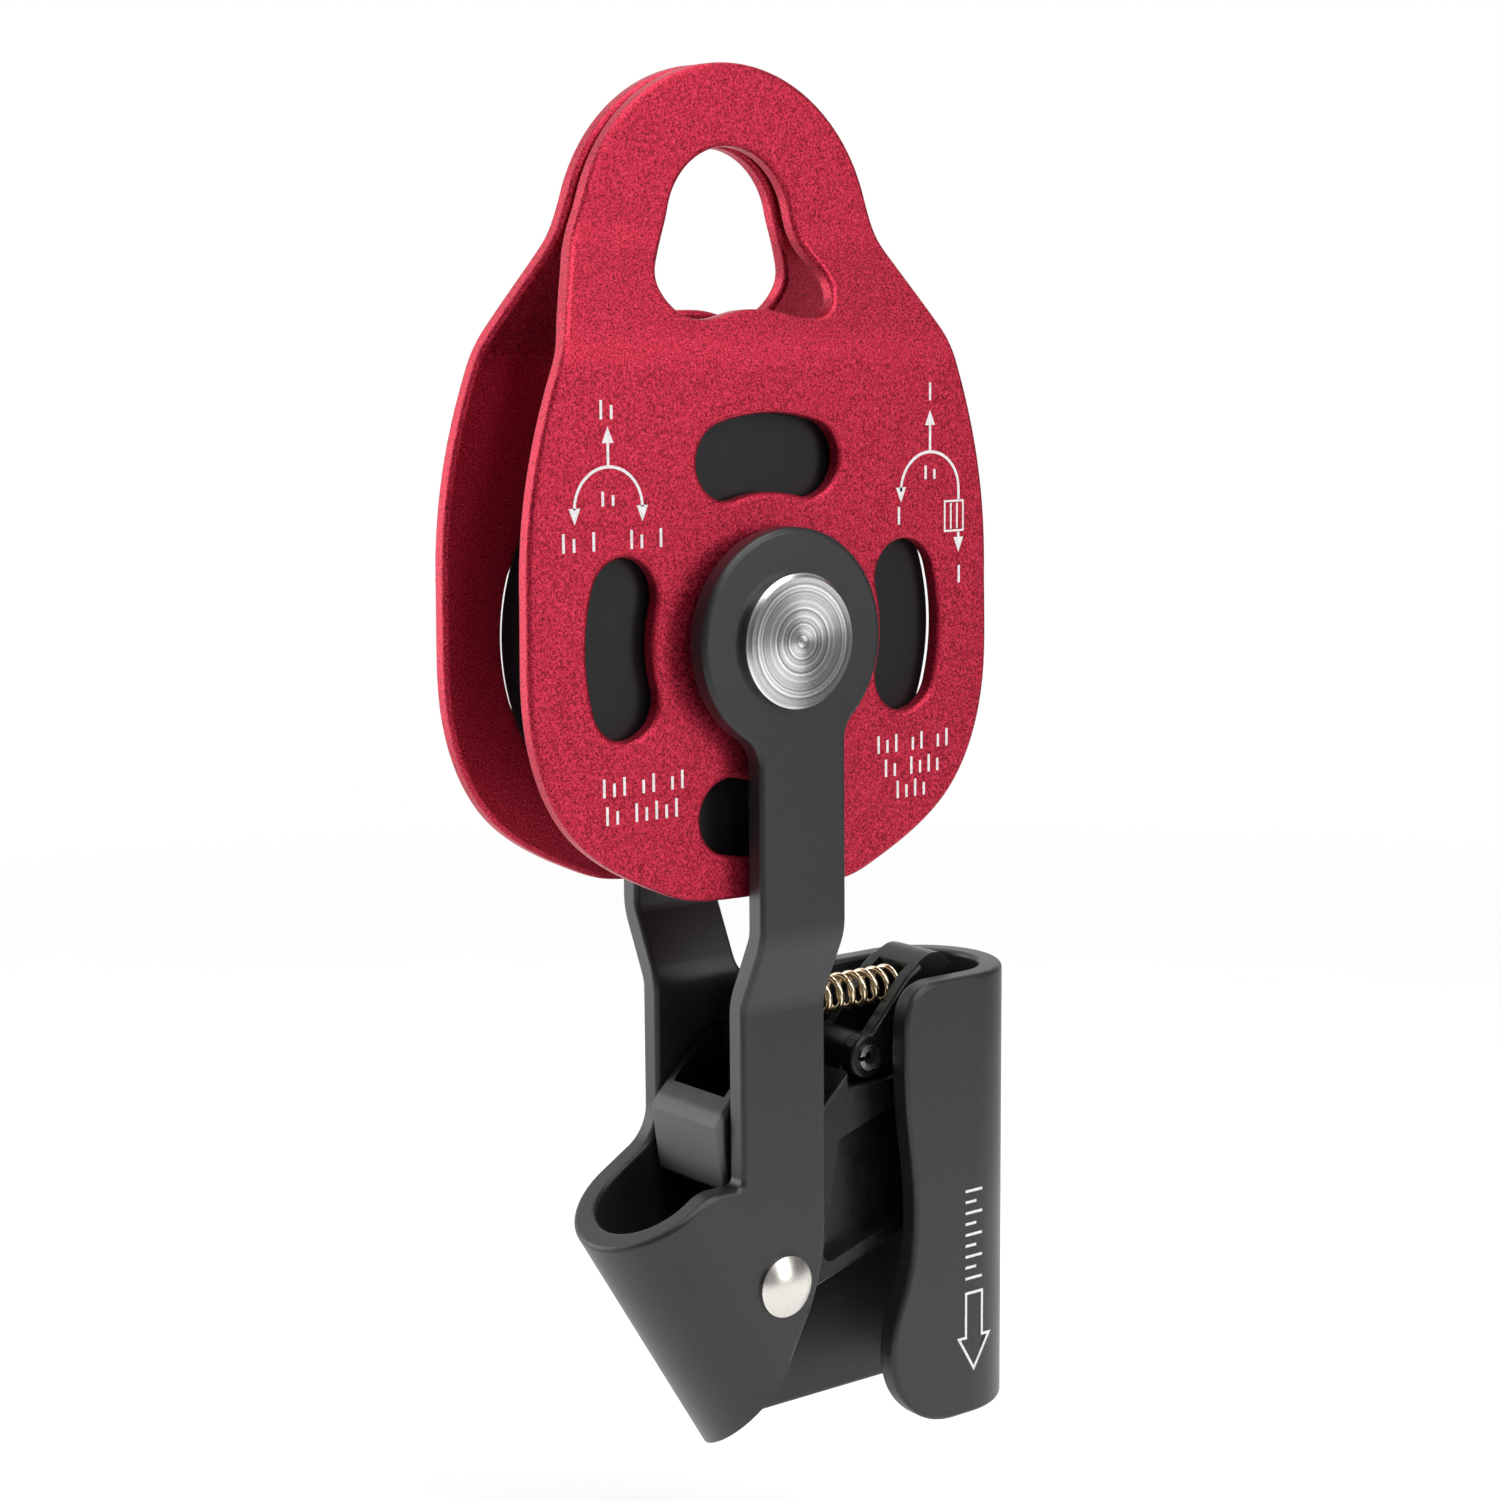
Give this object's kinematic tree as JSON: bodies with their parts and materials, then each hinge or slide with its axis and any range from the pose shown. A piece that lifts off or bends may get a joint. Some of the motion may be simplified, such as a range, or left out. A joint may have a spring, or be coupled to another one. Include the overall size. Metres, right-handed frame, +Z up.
{
  "type": "rope pulley",
  "caption": "Rope pulley with swinging side plates, a ball-bearing sheave and a folded-sheet rope clamp whose sprung toothed cam has a catch.",
  "frame": {"origin": "centre of the sheave, on the axle", "axes": "+Z up to the eye that the pulley hangs from, +Y along the axle to the rear, +X towards the rope channel"},
  "size_m": [0.0923, 0.0384, 0.2056],
  "materials": {
    "red_plate": "bead-blasted and red anodised",
    "black_sheave": "turned and black anodised",
    "bearing_steel": "ground and polished",
    "bearing_cage": "pressed, satin",
    "bearing_shield": "pressed, satin",
    "spring_steel": "drawn, oiled",
    "turned_steel": "fine turned, with concentric marks",
    "black_washer": "smooth",
    "black_frame": "satin black anodised",
    "nickel_rivet": "bright nickel",
    "black_cam": "investment cast, black coated",
    "black_catch": "investment cast, black coated",
    "catch_pin_steel": "rolled, satin",
    "brassy_spring": "drawn wire"
  },
  "bodies": {
    "front_side_plate": {"front_plate": "red_plate"},
    "rear_side_plate": {"rear_plate": "red_plate"},
    "clamp": {"clamp_frame": "black_frame", "axle": "turned_steel", "bearing_inner_race": "bearing_steel", "spacer_front": "turned_steel", "spacer_rear": "turned_steel", "washer_front": "black_washer", "washer_rear": "black_washer", "cam_pin": "nickel_rivet", "cam_washer_front": "black_washer", "cam_washer_rear": "black_washer", "cam_spring": "spring_steel"},
    "wheel": {"sheave": "black_sheave", "bearing_outer_race": "bearing_steel", "bearing_shield_front": "bearing_shield", "bearing_shield_rear": "bearing_shield", "bearing_circlip": "spring_steel"},
    "ball_set": {"bearing_balls": "bearing_steel", "bearing_cage": "bearing_cage"},
    "cam_lever": {"cam": "black_cam", "catch_pin": "catch_pin_steel", "catch_spring": "brassy_spring"},
    "catch_lever": {"catch": "black_catch"}
  },
  "joints": [
    {"name": "clamp_swing", "type": "hinge", "parent": "front_side_plate", "child": "clamp", "pos_m": [0, 0, 0], "axis": [0, 1, 0], "range_deg": [-90, 90]},
    {"name": "rear_plate_swing", "type": "hinge", "parent": "clamp", "child": "rear_side_plate", "pos_m": [0, 0, 0], "axis": [0, 1, 0], "range_deg": [-90, 90]},
    {"name": "sheave_spin", "type": "hinge", "parent": "clamp", "child": "wheel", "pos_m": [0, 0, 0], "axis": [0, 1, 0], "continuous": true},
    {"name": "ball_set_roll", "type": "hinge", "parent": "clamp", "child": "ball_set", "pos_m": [0, 0, 0], "axis": [0, 1, 0], "continuous": true},
    {"name": "cam_open", "type": "hinge", "parent": "clamp", "child": "cam_lever", "pos_m": [0.00144, 0, -0.096], "axis": [0, -1, 0], "range_deg": [0, 30], "stiffness_Nm_per_rad": 0.12, "springref_deg": -51.57, "deforming": ["cam_spring"]},
    {"name": "catch_lift", "type": "hinge", "parent": "cam_lever", "child": "catch_lever", "pos_m": [0.0231, 0, -0.0663], "axis": [0, -1, 0], "range_deg": [0, 18], "stiffness_Nm_per_rad": 0.02, "springref_deg": -45.84, "deforming": ["catch_spring"]}
  ],
  "couplings": [
    {"joint": "ball_set_roll", "follows": "sheave_spin", "ratio": 0.619}
  ]
}
